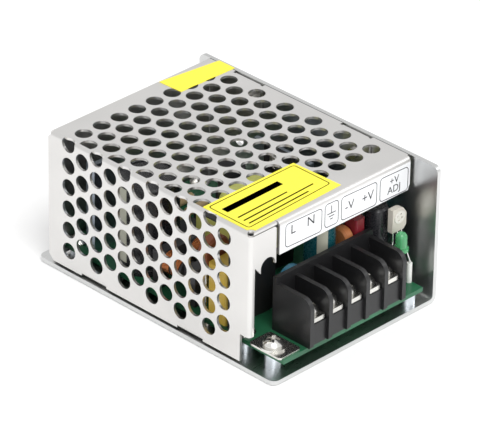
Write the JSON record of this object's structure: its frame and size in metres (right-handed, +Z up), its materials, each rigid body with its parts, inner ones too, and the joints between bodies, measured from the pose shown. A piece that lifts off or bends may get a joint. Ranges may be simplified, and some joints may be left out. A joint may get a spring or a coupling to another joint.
{
  "type": "mesh case switching power supply",
  "caption": "Open-frame mains supply in a folded sheet case with a pierced cover, a screw terminal block, a lamp and a voltage trimmer at the front.",
  "frame": {"origin": "centre of the footprint, on the underside of the base chassis", "axes": "+Z up; -Y towards the terminals; +X towards the chassis side wall"},
  "size_m": [0.058, 0.0852, 0.039],
  "materials": {
    "base_sheet": "satin",
    "cover_sheet": "satin",
    "plated_steel": "bright nickel plate",
    "nickel_plate": "bright nickel plate",
    "nickel_post": "satin nickel plate",
    "label_white": "semi-matt print film",
    "label_yellow": "semi-matt print film",
    "board_green": "solder mask on laminate",
    "barrier_black": "smooth sheet",
    "block_black": "moulded, semi-gloss",
    "lamp_green": "clear tinted epoxy",
    "sleeve_white": "flexible sleeve",
    "trimmer_cream": "moulded",
    "rotor_white": "moulded",
    "tinned_wire": "tinned",
    "can_black": "shrink sleeve",
    "can_teal": "shrink sleeve",
    "film_yellow": "moulded box",
    "film_red": "dipped coating",
    "disc_blue": "dipped coating",
    "disc_orange": "dipped coating",
    "disc_brown": "dipped coating",
    "ferrite": "ground ferrite",
    "tape_yellow": "polyester tape",
    "bobbin_black": "moulded",
    "enamel_copper": "enamelled wire",
    "fuse_body": "glass and caps",
    "chip_black": "moulded",
    "sink_aluminium": "mill finish",
    "resistor_tan": "lacquer"
  },
  "bodies": {
    "case": {"base_chassis": "base_sheet", "perforated_cover": "cover_sheet", "cover_side": "cover_sheet", "cover_back": "cover_sheet", "cover_front": "cover_sheet", "cover_tabs": "cover_sheet", "cover_screws": "plated_steel", "legend_plate": "label_white", "service_label": "label_yellow", "seam_sticker": "label_yellow", "circuit_board": "board_green", "board_standoffs": "nickel_post", "board_screws": "plated_steel", "earth_washer": "plated_steel", "earth_tab": "nickel_plate", "insulating_barrier": "barrier_black", "terminal_block": "block_black", "terminal_contacts": "nickel_plate", "indicator_lamp": "lamp_green", "lamp_leads": "tinned_wire", "lead_sleeves": "sleeve_white", "trimmer_housing": "trimmer_cream", "bulk_capacitor": "can_black", "output_capacitors": "can_teal", "small_capacitor": "can_black", "film_capacitor": "film_yellow", "coupling_capacitor": "film_red", "varistor": "disc_blue", "disc_capacitor": "disc_orange", "inrush_thermistor": "disc_brown", "transformer_core": "ferrite", "core_tape": "tape_yellow", "transformer_bobbin": "bobbin_black", "transformer_winding": "tape_yellow", "choke_core": "ferrite", "choke_bobbin": "bobbin_black", "choke_windings": "enamel_copper", "fuse": "fuse_body", "bridge_rectifier": "chip_black", "heat_sink": "sink_aluminium", "switch_transistor": "chip_black", "output_rectifier": "chip_black", "rectifier_sink": "sink_aluminium", "transistor_screws": "plated_steel", "control_chip": "chip_black", "optocoupler": "chip_black", "output_inductor": "ferrite", "resistors": "resistor_tan", "component_leads": "tinned_wire"},
    "clamp_1": {"clamp_1": "nickel_plate"},
    "screw_1": {"terminal_screw_1": "plated_steel"},
    "clamp_2": {"clamp_2": "nickel_plate"},
    "screw_2": {"terminal_screw_2": "plated_steel"},
    "clamp_3": {"clamp_3": "nickel_plate"},
    "screw_3": {"terminal_screw_3": "plated_steel"},
    "clamp_4": {"clamp_4": "nickel_plate"},
    "screw_4": {"terminal_screw_4": "plated_steel"},
    "clamp_5": {"clamp_5": "nickel_plate"},
    "screw_5": {"terminal_screw_5": "plated_steel"},
    "rotor": {"trimmer_rotor": "rotor_white"}
  },
  "joints": [
    {"name": "clamp_lift_1", "type": "slide", "parent": "case", "child": "clamp_1", "axis": [0, 0, 1], "range_m": [0, 0.002]},
    {"name": "screw_turn_1", "type": "hinge", "parent": "clamp_1", "child": "screw_1", "pos_m": [-0.01335, -0.03805, 0.0121], "axis": [0, 0, 1], "range_deg": [0, 1440]},
    {"name": "clamp_lift_2", "type": "slide", "parent": "case", "child": "clamp_2", "axis": [0, 0, 1], "range_m": [0, 0.002]},
    {"name": "screw_turn_2", "type": "hinge", "parent": "clamp_2", "child": "screw_2", "pos_m": [-0.00678, -0.03805, 0.0121], "axis": [0, 0, 1], "range_deg": [0, 1440]},
    {"name": "clamp_lift_3", "type": "slide", "parent": "case", "child": "clamp_3", "axis": [0, 0, 1], "range_m": [0, 0.002]},
    {"name": "screw_turn_3", "type": "hinge", "parent": "clamp_3", "child": "screw_3", "pos_m": [-0.00021, -0.03805, 0.0121], "axis": [0, 0, 1], "range_deg": [0, 1440]},
    {"name": "clamp_lift_4", "type": "slide", "parent": "case", "child": "clamp_4", "axis": [0, 0, 1], "range_m": [0, 0.002]},
    {"name": "screw_turn_4", "type": "hinge", "parent": "clamp_4", "child": "screw_4", "pos_m": [0.00636, -0.03805, 0.0121], "axis": [0, 0, 1], "range_deg": [0, 1440]},
    {"name": "clamp_lift_5", "type": "slide", "parent": "case", "child": "clamp_5", "axis": [0, 0, 1], "range_m": [0, 0.002]},
    {"name": "screw_turn_5", "type": "hinge", "parent": "clamp_5", "child": "screw_5", "pos_m": [0.01293, -0.03805, 0.0121], "axis": [0, 0, 1], "range_deg": [0, 1440]},
    {"name": "trimmer_turn", "type": "hinge", "parent": "case", "child": "rotor", "pos_m": [0.0225, -0.03452, 0.024], "axis": [0, -1, 0], "range_deg": [-130, 130]}
  ],
  "couplings": [
    {"joint": "screw_turn_1", "follows": "clamp_lift_1", "rad_per_m": 12566},
    {"joint": "screw_turn_2", "follows": "clamp_lift_2", "rad_per_m": 12566},
    {"joint": "screw_turn_3", "follows": "clamp_lift_3", "rad_per_m": 12566},
    {"joint": "screw_turn_4", "follows": "clamp_lift_4", "rad_per_m": 12566},
    {"joint": "screw_turn_5", "follows": "clamp_lift_5", "rad_per_m": 12566}
  ]
}
